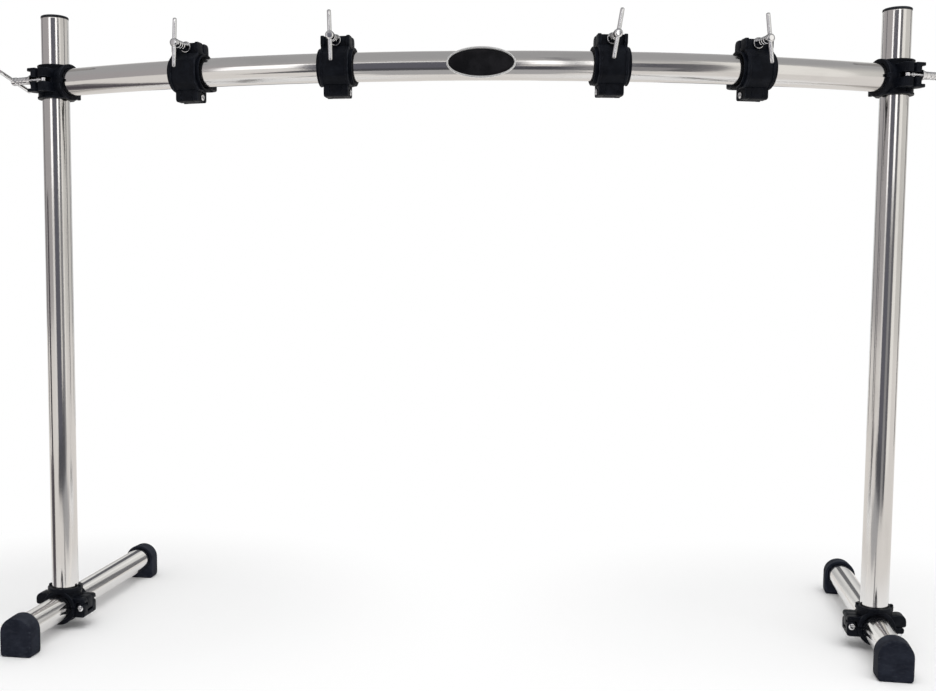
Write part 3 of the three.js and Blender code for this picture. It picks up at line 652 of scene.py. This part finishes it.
class Finish:
    # a material or world tree; node() adds any node: its type, its settings first, then its sockets
    def __init__(self, owner):
        owner.use_nodes = True
        self.owner = owner
        self.tree = owner.node_tree
        self.tree.nodes.clear()

    def node(self, kind, settings=None, sockets=None, output=0):
        made = self.tree.nodes.new(kind)
        for key, value in (settings or {}).items():
            setattr(made, key, value)
        for key, value in (sockets or {}).items():
            if isinstance(value, Wire):
                self.tree.links.new(value.socket, made.inputs[key])
            else:
                made.inputs[key].default_value = value
        return Wire(self, made.outputs[output]) if made.outputs else made

    def attribute(self, name, output=2):
        return self.node("ShaderNodeAttribute", {"attribute_name": name}, output=output)

    def placeOf(self, scale=(1, 1, 1), source=None):
        source = source or self.node("ShaderNodeTexCoord", output=3)
        return self.node("ShaderNodeMapping", sockets={"Vector": source, "Scale": scale})

    def noise(self, vector, scale, detail, roughness):
        return self.node("ShaderNodeTexNoise", sockets={"Vector": vector, "Scale": scale, "Detail": detail,
                                                        "Roughness": roughness})

    def mixColour(self, share, first, second):
        return self.node("ShaderNodeMix", {"data_type": "RGBA"}, {0: share, 6: first, 7: second}, 2)

    def bump(self, height, strength, distance):
        return self.node("ShaderNodeBump", sockets={"Height": height, "Strength": strength, "Distance": distance})

    def either(self, first, second):
        return self.node("ShaderNodeMath", {"operation": "ADD", "use_clamp": True}, {0: first, 1: second})

    def rays(self):
        # rays straight from the eye, rays that met a mirror or glass, and the two together
        eye = self.node("ShaderNodeLightPath")
        mirrored = self.either(eye.output(3), eye.output(6))
        return eye, mirrored, self.either(eye, mirrored)

    def surface(self, look, tone, rough, height):
        # the sockets that vary, and in look["fixed"] those that are the same all over
        shader = self.node("ShaderNodeBsdfPrincipled", sockets={
            "Base Color": tone, "Roughness": rough, "Normal": self.bump(height, *look["relief"]), **look["fixed"]})
        self.node("ShaderNodeOutputMaterial", sockets={"Surface": shader})
        return self.owner


def colour(red, green, blue):
    return (red, green, blue, 1.0)


# in each finish: noises are (scale, detail, roughness), spans are where a step starts and ends, relief is
# a bump's strength and depth, and fixed holds the sockets that are the same all over
steel = {
    "pale": colour(0.76, 0.745, 0.73), "dull": colour(0.66, 0.645, 0.63), "rough": 0.12,
    "linesAlong": (3.0, 900.0, 900.0), "fineAlong": (14.0, 2600.0, 2600.0), "patchAlong": (9.0, 26.0, 26.0),
    "lines": (1.0, 4.0, 0.6), "fine": (1.0, 2.0, 0.5), "patch": (1.0, 3.0, 0.55), "wipedSpan": (0.52, 0.74),
    "wipedTone": 0.45, "lineTone": 0.35, "lineRough": 0.10, "wipedRough": 0.05, "wornRough": 0.10,
    "lineDepth": 0.6, "fineDepth": 0.4, "relief": (0.10, 0.00006), "fixed": {"Metallic": 1.0},
}


def tubeSteel():
    # polished stainless: long fine brush lines, a slow drift of tone, and faint wiped patches
    f, m = Finish(bpy.data.materials.new("tubeSteel")), steel
    flow = f.attribute("flow", 1)
    lines = f.noise(f.placeOf(m["linesAlong"], flow), *m["lines"])
    fine = f.noise(f.placeOf(m["fineAlong"], flow), *m["fine"])
    wiped = f.noise(f.placeOf(m["patchAlong"], flow), *m["patch"]).step(*m["wipedSpan"])
    tone = f.mixColour(wiped * m["wipedTone"] + lines * m["lineTone"], m["pale"], m["dull"])
    rough = (m["rough"] + m["lineRough"] * (lines - 0.5) + m["wipedRough"] * wiped
             + m["wornRough"] * f.attribute("wear"))
    return f.surface(m, tone, rough, lines * m["lineDepth"] + fine * m["fineDepth"])


# rim is the near-black colour painted on the rounded edges: a painted dark reflection
plate = {
    "bright": colour(0.90, 0.90, 0.91), "grey": colour(0.46, 0.46, 0.48), "rim": colour(0.05, 0.05, 0.055),
    "cloud": (55.0, 3.0, 0.55), "cloudSpan": (0.42, 0.78), "pits": (900.0, 2.0, 0.5), "cloudTone": 0.30,
    "paintedEdgeShadeTone": 0.60, "rough": 0.10, "cloudRough": 0.10, "wornRough": 0.10, "relief": (0.12, 0.00005),
    "fixed": {"Metallic": 1.0, "Specular Tint": colour(0.05, 0.05, 0.055)},
}


def brightPlate():
    # plated fittings: mirror faces with dark glancing edges, a little cloudiness, and rounded edges rubbed duller,
    # their colour painted near black as a painted dark reflection
    f, m = Finish(bpy.data.materials.new("brightPlate")), plate
    place, wearAndEdgeShade = f.placeOf(), f.attribute("wear")
    cloud = f.noise(place, *m["cloud"]).step(*m["cloudSpan"])
    pits = f.noise(place, *m["pits"])
    tone = f.mixColour(cloud * m["cloudTone"], m["bright"], m["grey"])
    # rounded edges are mixed towards the near-black rim colour, a painted dark reflection; only their extra roughness
    # is real wear
    tone = f.mixColour(wearAndEdgeShade * m["paintedEdgeShadeTone"], tone, m["rim"])
    rough = m["rough"] + m["cloudRough"] * cloud + m["wornRough"] * wearAndEdgeShade
    return f.surface(m, tone, rough, pits)


moulding = {
    "dark": colour(0.0030, 0.0038, 0.0064), "pale": colour(0.0066, 0.0080, 0.0120),
    "edge": colour(0.024, 0.027, 0.036), "grain": (1500.0, 2.0, 0.6), "swirl": (75.0, 4.0, 0.6),
    "swirlSpan": (0.38, 0.70), "rub": (260.0, 3.0, 0.6), "rubSpan": (0.34, 0.62), "rubTone": 0.75, "rough": 0.38,
    "swirlRough": 0.16, "rubShine": 0.08, "relief": (0.32, 0.00016), "fixed": {"Specular IOR Level": 0.09},
}
capMoulding = {
    "dark": colour(0.008, 0.009, 0.012), "pale": colour(0.020, 0.022, 0.027), "edge": colour(0.065, 0.068, 0.074),
    "grain": (1300.0, 2.0, 0.6), "swirl": (90.0, 3.0, 0.6), "swirlSpan": (0.40, 0.70), "rubTone": 0.5,
    "rough": 0.46, "swirlRough": 0.16, "relief": (0.25, 0.00012), "fixed": {"Specular IOR Level": 0.2},
}


def moulded(name, m):
    # moulded plastic: pebbled grain, cloudy tone, and paler edges, rubbed in patches on the clamps
    f = Finish(bpy.data.materials.new(name))
    place, rubbed = f.placeOf(), f.attribute("wear")
    grain, swirl = f.noise(place, *m["grain"]), f.noise(place, *m["swirl"])
    rough = m["rough"] + m["swirlRough"] * swirl
    if "rub" in m:
        rubbed = rubbed * f.noise(place, *m["rub"]).step(*m["rubSpan"])
        rough = rough - m["rubShine"] * rubbed
    tone = f.mixColour(swirl.step(*m["swirlSpan"]), m["dark"], m["pale"])
    tone = f.mixColour(rubbed * m["rubTone"], tone, m["edge"])
    return f.surface(m, tone, rough, grain)


# the pale dust colour serves both the real dust on the scuffs and the painted highlight on upward faces
rubber = {
    "dark": colour(0.0085, 0.0105, 0.0180), "pale": colour(0.0175, 0.0205, 0.0310),
    "dust": colour(0.055, 0.060, 0.073), "stipple": (1100.0, 2.0, 0.65), "mottle": (48.0, 4.0, 0.6),
    "mottleSpan": (0.35, 0.68), "scuffAlong": (1, 1, 3.0), "scuff": (120.0, 4.0, 0.65), "scuffSpan": (0.48, 0.72),
    "scuffLeast": 0.25, "scuffWorn": 0.55, "scuffLow": 0.5, "lowSpan": (0.0, 0.012), "topDust": 0.42,
    "topSpan": (0.10, 0.85), "topMottle": (0.20, 0.60), "dustAndTopLightTone": 0.7, "rough": 0.66, "mottleRough": 0.14,
    "dustAndTopLightRough": 0.10, "relief": (0.35, 0.00018), "fixed": {"Specular IOR Level": 0.09},
}


def footRubber():
    # matt slate rubber: fine stipple, soft mottling, dusty scuffs on the edges and near the floor, and upward faces
    # painted paler as a painted highlight from light above
    f, m = Finish(bpy.data.materials.new("footRubber")), rubber
    place = f.placeOf()
    stipple, mottle = f.noise(place, *m["stipple"]), f.noise(place, *m["mottle"])
    scuff = f.noise(f.placeOf(m["scuffAlong"]), *m["scuff"]).step(*m["scuffSpan"])
    height = f.node("ShaderNodeSeparateXYZ", sockets={0: f.node("ShaderNodeTexCoord", output=3)}, output=2)
    upward = f.node("ShaderNodeSeparateXYZ", sockets={0: f.node("ShaderNodeNewGeometry", output=1)}, output=2)
    low = 1.0 - height.step(*m["lowSpan"])
    # the scuff term is real dust; the term on upward faces is a painted highlight that paints the tops paler
    dustAndTopLight = (scuff * (m["scuffLeast"] + m["scuffWorn"] * f.attribute("wear") + m["scuffLow"] * low)
             + m["topDust"] * upward.step(*m["topSpan"]) * mottle.step(*m["topMottle"]))
    tone = f.mixColour(mottle.step(*m["mottleSpan"]), m["dark"], m["pale"])
    tone = f.mixColour(dustAndTopLight * m["dustAndTopLightTone"], tone, m["dust"])
    return f.surface(m, tone, m["rough"] + m["mottleRough"] * mottle + m["dustAndTopLightRough"] * dustAndTopLight, stipple)


enamel = {
    "dark": colour(0.0035, 0.0035, 0.0045), "pale": colour(0.0085, 0.0082, 0.0100),
    "scratchAlong": (25.0, 25.0, 900.0), "scratch": (1.0, 3.0, 0.6), "uneven": (60.0, 3.0, 0.5),
    "unevenSpan": (0.40, 0.70), "rough": 0.24, "scratchRough": 0.12, "unevenRough": 0.08,
    "relief": (0.08, 0.00005), "fixed": {"Specular IOR Level": 0.12, "Coat Weight": 0.08, "Coat Roughness": 0.12},
}


def badgeEnamel():
    # plain dark enamel, slightly uneven, with hair scratches along its length
    f, m = Finish(bpy.data.materials.new("badgeEnamel")), enamel
    scratch = f.noise(f.placeOf(m["scratchAlong"]), *m["scratch"])
    uneven = f.noise(f.placeOf(), *m["uneven"])
    tone = f.mixColour(uneven.step(*m["unevenSpan"]), m["dark"], m["pale"])
    return f.surface(m, tone, m["rough"] + m["scratchRough"] * scratch + m["unevenRough"] * uneven, scratch)


satin = {
    "bright": colour(0.86, 0.86, 0.85), "grey": colour(0.74, 0.74, 0.73), "brushAlong": (120.0, 120.0, 1400.0),
    "brush": (1.0, 3.0, 0.6), "rough": 0.26, "brushRough": 0.14, "wornRough": 0.06,
    "relief": (0.10, 0.00005), "fixed": {"Metallic": 0.85},
}


def rimMetal():
    # pale satin rim, brushed, with rubbed edges
    f, m = Finish(bpy.data.materials.new("rimMetal")), satin
    brush = f.noise(f.placeOf(m["brushAlong"]), *m["brush"])
    tone = f.mixColour(brush, m["bright"], m["grey"])
    return f.surface(m, tone, m["rough"] + m["brushRough"] * brush + m["wornRough"] * f.attribute("wear"), brush)


finishes = {
    "tube_chrome": tubeSteel(), "bright_hardware": brightPlate(), "clamp_plastic": moulded("clampMoulding", moulding),
    "foot_rubber": footRubber(), "cap_plastic": moulded("capMoulding", capMoulding), "badge_dark": badgeEnamel(),
    "badge_rim": rimMetal(),
}
print("finishes made:", len(finishes))


def put(node, shell, slot, place=None, sharp=34.0):
    # writes the shell into a mesh in metres, and lets it stand for its CAD node on that node's body
    if place is not None:
        shell = shell.carried(place)
    words = node.split("_")
    name = words[0] + "".join(w.capitalize() for w in words[1:])
    points = shell.points * metre + standing
    mesh = bpy.data.meshes.new(name)
    mesh.from_pydata(points.tolist(), [], [f for group in shell.faces for f in group.tolist()])
    wear = mesh.attributes.new("wear", "FLOAT", "POINT")
    wear.data.foreach_set("value", shell.wear.astype(np.float32))
    flow = mesh.attributes.new("flow", "FLOAT_VECTOR", "POINT")
    flow.data.foreach_set("vector", (shell.flow * metre).astype(np.float32).ravel())
    mesh.polygons.foreach_set("use_smooth", np.ones(len(mesh.polygons), bool))
    mesh.set_sharp_from_angle(angle=math.radians(sharp))
    mesh.materials.append(finishes[slot])
    mesh.update()
    piece = linked(name, mesh)
    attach(piece, bodyOf[node])
    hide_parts(node)


def onBar(degrees):
    # the point of the bar's arc at an angle, and the direction out of the arc there
    a = math.radians(degrees)
    out = np.array([math.sin(a), -math.cos(a), 0.0])
    return np.array([0, arcCentre, rack["barHeight"]]) + barRadius * out, out


# bar and badge
barHalf = barRadius * endAngle + rack["barStraight"] - rack["tubeStart"]
put("curved_bar", tubeShell(-barHalf, barHalf, barPath, tube["barRows"]), "tube_chrome")
at, out = onBar(badge["angle"])
badgeFrame = clampFrame(at, [-out[1], out[0], 0], -out)
put("badge_plate", badgePlate(), "badge_dark", badgeFrame)
put("badge_rim", badgeRim(), "badge_rim", badgeFrame)

# closing parts of one clamp: rivet, swing bolt and wing nut, all placed in the clamp's frame
seating = {"pin": 0.3, "nut": 0.35, "foot": 0.35, "boltSharp": 50}
pinShell = {wide: hingePin(clamp[width] + seating["pin"])
            for wide, width in ((True, "hingeReach"), (False, "slideHinge"))}
boltShell, nutShell = swingBolt(), wingNut()


def closing(label, place, turn, wide):
    eyeAt, boltAt = clamp["eyeSetback"], clamp["boltAt"]
    pin, eye = movedBy(0, clamp["hingeAt"], 0), movedBy(eyeAt, -boltAt, 0)
    nut = turnedX(turn, (eyeAt - clamp["seat"] - seating["nut"], -boltAt, 0))
    put(label + "_hinge_pin", pinShell[wide], "bright_hardware", place @ pin)
    put(label + "_swing_bolt", boltShell, "bright_hardware", place @ eye, seating["boltSharp"])
    put(label + "_wing_nut", nutShell, "bright_hardware", place @ nut)


# sliding clamps stand square to the arc, bolt side up
front, rear, screw = sliderFront(), sliderRear(), headedScrew("screw")
for name, degrees in clampAngles.items():
    at, out = onBar(degrees)
    place = clampFrame(at, -out, [0, 0, -1])
    label = "clamp_" + name
    put(label + "_rear_jaw", rear, "clamp_plastic", place)
    put(label + "_front_jaw", front, "clamp_plastic", place)
    closing(label, place, nutTurns[name], False)
    put(label + "_socket_screw", screw, "bright_hardware", place @ movedBy(slider["bossAt"], 0, 0))
print("sliding clamps placed")

# uprights with their caps and top clamps, then feet with their base clamps
swingBody, swingJaw, keyBody, keyJaw = joinBody("swing"), joinJaw("swing"), joinBody("key"), joinJaw("key")
rubberShell, capShell, keyShell = rubberFoot(), endCap(), headedScrew("key")
low, top = rack["footHeight"] + rack["tubeStart"], rack["uprightTop"]
c, s = math.cos(endAngle), math.sin(endAngle)
for side, name, yaw in ((-1, "left", rack["yawLeft"]), (1, "right", rack["yawRight"])):
    x = side * rack["halfSpan"]
    place = clampFrame([x, 0, rack["barHeight"]], [-side * c, -s, 0], [-side * s, c, 0])
    label = "top_clamp_" + name
    put(label + "_body", swingBody, "clamp_plastic", place)
    put(label + "_jaw", swingJaw, "clamp_plastic", place)
    closing(label, place, nutTurns[name], True)
    upright = straightPath(np.array([x, 0, 0]), [0, 0, 1], [1, 0, 0])
    put("upright_" + name, tubeShell(low, top, upright, tube["uprightRows"]), "tube_chrome")
    put("upright_cap_" + name, capShell, "cap_plastic", movedBy(x, 0, top))

    yaw = math.radians(yaw)
    along, across = np.array([-math.sin(yaw), math.cos(yaw), 0]), np.array([math.cos(yaw), math.sin(yaw), 0])
    place = clampFrame([x, 0, rack["footHeight"]], [0, 0, 1], -side * across)
    label = "base_clamp_" + name
    put(label + "_body", keyBody, "clamp_plastic", place)
    put(label + "_jaw", keyJaw, "clamp_plastic", place)
    put(label + "_hinge_pin", pinShell[True], "bright_hardware", place @ movedBy(0, clamp["hingeAt"], 0))
    put(label + "_key_bolt", keyShell, "bright_hardware", place @ movedBy(0, -clamp["boltAt"], 0))
    axis = straightPath(np.array([x, 0, rack["footHeight"]]), along, across)
    put("foot_tube_" + name, tubeShell(-rack["footFront"], rack["footBack"], axis, tube["footRows"]), "tube_chrome")
    end = foot["wall"] + seating["foot"]
    for where, turn, distance in (("front", 1, -rack["footFront"] - end), ("back", -1, rack["footBack"] + end)):
        place = clampFrame(np.array([x, 0, 0]) + along * distance, across * turn, along * turn)
        put("foot_%s_%s" % (name, where), rubberShell, "foot_rubber", place)
print("uprights and feet placed")


# pale floor that keeps the shadow and runs out into plain white
studio = {"floor": colour(0.93, 0.93, 0.93), "floorHalf": 9.0, "feetAt": (0.59, 0.0, 0.0), "fade": (0.22, 0.62),
          "white": colour(1, 1, 1), "paper": colour(0.84, 0.81, 0.78)}


def sheet(name, corners):
    # a flat four-cornered piece of the set, with its finish still empty
    mesh = bpy.data.meshes.new(name)
    mesh.from_pydata(corners, [], [(0, 1, 2, 3)])
    f = Finish(bpy.data.materials.new(name))
    mesh.materials.append(f.owner)
    return linked(name, mesh), f


def studioFloor():
    half = studio["floorHalf"]
    floor, f = sheet("studioFloor", [(-half, -half, 0), (half, -half, 0), (half, half, 0), (-half, half, 0)])
    place = f.node("ShaderNodeVectorMath", {"operation": "ABSOLUTE"}, {0: f.node("ShaderNodeTexCoord", output=3)})
    near = f.node("ShaderNodeVectorMath", {"operation": "SUBTRACT"}, {0: place, 1: studio["feetAt"]})
    away = f.node("ShaderNodeVectorMath", {"operation": "LENGTH"}, {0: near}, 1)
    eye, _, seen = f.rays()
    matt = f.node("ShaderNodeBsdfDiffuse", sockets={"Color": studio["floor"]})
    paper = f.mixColour(eye, studio["paper"], studio["white"])
    white = f.node("ShaderNodeEmission", sockets={"Color": paper, "Strength": 1.0})
    mixed = f.node("ShaderNodeMixShader", sockets={0: seen * away.step(*studio["fade"]), 1: matt, 2: white})
    f.node("ShaderNodeOutputMaterial", sockets={"Surface": mixed})


room = {"left": colour(0.43, 0.41, 0.415), "right": colour(0.70, 0.685, 0.655), "acrossSpan": (-0.85, 0.95),
        "low": colour(0.50, 0.50, 0.50), "behind": colour(0.90, 0.90, 0.88), "lowSpan": (0.06, 0.34),
        "behindSpan": (0.55, 0.95), "above": colour(0.42, 0.42, 0.425), "aboveSpan": (0.30, 0.85), "ambient": 0.63}


def studioWorld():
    # plain white to the eye; mirrors see a room in soft greys: darker to the left, above and low behind
    world = bpy.data.worlds.new("studioWorld")
    bpy.context.scene.world = world
    f = Finish(world)
    across = f.node("ShaderNodeSeparateXYZ", sockets={0: f.node("ShaderNodeTexCoord")})
    depth, height = across.output(1), across.output(2)
    _, bent, seen = f.rays()
    walls = f.mixColour(across.step(*room["acrossSpan"]), room["left"], room["right"])
    behind = f.mixColour(height.step(*room["lowSpan"]), room["low"], room["behind"])
    around = f.mixColour(depth.step(*room["behindSpan"]), walls, behind)
    mirrored = f.mixColour(height.step(*room["aboveSpan"]), around, room["above"])
    shown = f.mixColour(bent, studio["white"], mirrored)
    strength = room["ambient"] + (1.0 - room["ambient"]) * seen
    light = f.node("ShaderNodeBackground", sockets={"Color": shown, "Strength": strength})
    f.node("ShaderNodeOutputWorld", sockets={"Surface": light})


def reflectedCard(name, grey, corners):
    # a plain card that only mirrors see
    card, f = sheet(name, corners)
    glow = f.node("ShaderNodeEmission", sockets={"Color": colour(*grey), "Strength": 1.0})
    f.node("ShaderNodeOutputMaterial", sockets={"Surface": glow})
    card.visible_camera = card.visible_diffuse = card.visible_shadow = False
    card.visible_transmission = card.visible_volume_scatter = False


def panel(start, end, top=2.4, low=0):
    # an upright card over a line on the floor from (x, y) to (x, y)
    return [start + (low,), end + (low,), end + (top,), start + (top,)]


def laid(height, *corners):
    return [corner + (height,) for corner in corners]


# cards round the set and on its floor: name, grey, corners in metres
cards = (
    ("darkGap", (0.13, 0.13, 0.155), panel((-1.05, -2.02), (0.30, -2.02), 1.45)),
    ("darkFront", (0.085, 0.085, 0.095), laid(0.004, (-1.05, -3.4), (2.0, -3.4), (1.05, -1.10), (-1.05, -1.10))),
    ("brightTop", (1.05, 1.05, 1.05), panel((-1.2, -2.01), (0.5, -2.01), 1.70, 1.52)),
    ("greyStrip", (0.36, 0.355, 0.36), laid(0.004, (-0.51, -0.22), (-0.55, -0.22), (-0.24, -1.12), (-0.10, -1.12))),
    ("greyStrip", (0.36, 0.355, 0.36), laid(0.004, (0.50, -0.22), (0.54, -0.22), (0.26, -1.12), (0.12, -1.12))),
    ("darkEdge", (0.085, 0.075, 0.085), panel((-0.93, -0.11), (-0.885, -0.205), 0.66)),
    ("leftFill", (0.86, 0.84, 0.82), panel((-1.73, -1.97), (-1.07, -1.97), 0.80)),
    ("darkLine", (0.15, 0.15, 0.165), panel((0.40, -1.30), (0.45, -1.22))),
    ("midGrey", (0.30, 0.295, 0.30), panel((0.45, -1.22), (0.75, -1.00), 0.62)),
    ("darkSide", (0.12, 0.12, 0.135), panel((0.90, -2.02), (1.42, -2.02), 1.45)),
    ("sideGrey", (0.15, 0.148, 0.16), panel((0.99, -1.52), (1.27, -1.41), 1.40)),
    ("rightFill", (0.98, 0.96, 0.92), panel((1.34, -1.46), (2.25, -1.30))),
    ("backDarkLeft", (0.14, 0.14, 0.155), panel((-1.15, 2.3), (-0.55, 2.3))),
    ("backBright", (1.0, 1.0, 0.98), panel((-0.20, 2.3), (0.20, 2.3))),
    ("backDarkRight", (0.17, 0.17, 0.18), panel((0.62, 2.3), (1.05, 2.3))),
    ("sideDark", (0.16, 0.16, 0.17), panel((2.6, 0.50), (2.6, 0.95))),
    ("sideDarkLeft", (0.16, 0.16, 0.17), panel((-2.6, 0.35), (-2.6, 0.80))),
    ("leftFloor", (0.15, 0.14, 0.15), laid(0.006, (-0.78, -0.05), (-0.72, -0.16), (-2.0, -0.85), (-2.3, 0.35))),
    ("midFloor", (0.46, 0.455, 0.46), laid(0.006, (-0.24, -0.36), (0.24, -0.36), (0.50, -1.09), (-0.50, -1.09))),
    ("brightLine", (0.98, 0.96, 0.92), laid(0.006, (0.28, -0.07), (0.28, -0.10), (-0.55, -0.31), (-0.55, -0.23))),
)


def softLamp(name, at, aim, width, height, power, mirrored):
    lamp = bpy.data.lights.new(name, "AREA")
    lamp.shape = "RECTANGLE"
    lamp.size, lamp.size_y, lamp.energy = width, height, power
    holder = linked(name, lamp)
    towards = unit(np.array(aim, float) - np.array(at, float))
    side = unit(np.cross(towards, [0, 0, 1]))
    turn = np.eye(4)
    turn[:3, 0], turn[:3, 1], turn[:3, 2], turn[:3, 3] = side, np.cross(side, towards), -towards, at
    holder.matrix_world = Matrix(turn.tolist())
    holder.visible_camera = False
    holder.visible_glossy = mirrored


# two soft boxes that mirrors see, each (name, x, width), and a lamp overhead that they don't
box = {"y": -1.98, "z": 1.28, "tall": 0.96, "light": 1.12 * math.pi}
overhead = {"at": (0.5, -1.1, 3.0), "aim": (0, 0, 0.3), "width": 3.0, "height": 3.0, "power": 58.0}
studioFloor()
studioWorld()
for name, grey, corners in cards:
    reflectedCard(name, grey, corners)
for name, x, wide in (("leftBox", -1.40, 0.66), ("rightBox", 0.60, 0.52)):
    power = box["light"] * wide * box["tall"]
    softLamp(name, (x, box["y"], box["z"]), (x, 0, box["z"]), wide, box["tall"], power, True)
softLamp("overhead", **overhead, mirrored=False)
print("studio set:", len(cards), "cards")


# the photograph's viewpoint: place in millimetres in the drawn frame, turns in radians, offsets in pixels
view = {"at": (37.08, -1608.96, 518.71), "pitch": 0.0796, "yaw": -0.0658, "roll": 0.0060, "sensor": 36.0,
        "focal": 1122.36, "frameWidth": 936, "offsetX": -53.46, "offsetY": 23.90, "clip": (0.05, 60.0)}


def viewpoint():
    pitch, yaw, roll = view["pitch"], view["yaw"], view["roll"]
    ahead = np.array([math.sin(yaw) * math.cos(pitch), math.cos(yaw) * math.cos(pitch), -math.sin(pitch)])
    right = np.array([math.cos(yaw), -math.sin(yaw), 0.0])
    up = np.cross(right, ahead)
    side, top = (math.cos(roll) * right + math.sin(roll) * up, -math.sin(roll) * right + math.cos(roll) * up)
    turn = np.eye(4)
    turn[:3, 0], turn[:3, 1], turn[:3, 2] = side, top, -ahead
    turn[:3, 3] = np.array(view["at"]) * metre + standing
    data = bpy.data.cameras.new("viewpoint")
    data.sensor_width = view["sensor"]
    data.lens = view["focal"] / view["frameWidth"] * data.sensor_width
    data.shift_x = -view["offsetX"] / view["frameWidth"]
    data.shift_y = view["offsetY"] / view["frameWidth"]
    data.clip_start, data.clip_end = view["clip"]
    camera = linked("viewpoint", data)
    camera.matrix_world = Matrix(turn.tolist())
    bpy.context.scene.camera = camera


viewpoint()
bpy.context.scene.view_settings.view_transform = "Standard"
bpy.context.view_layer.update()
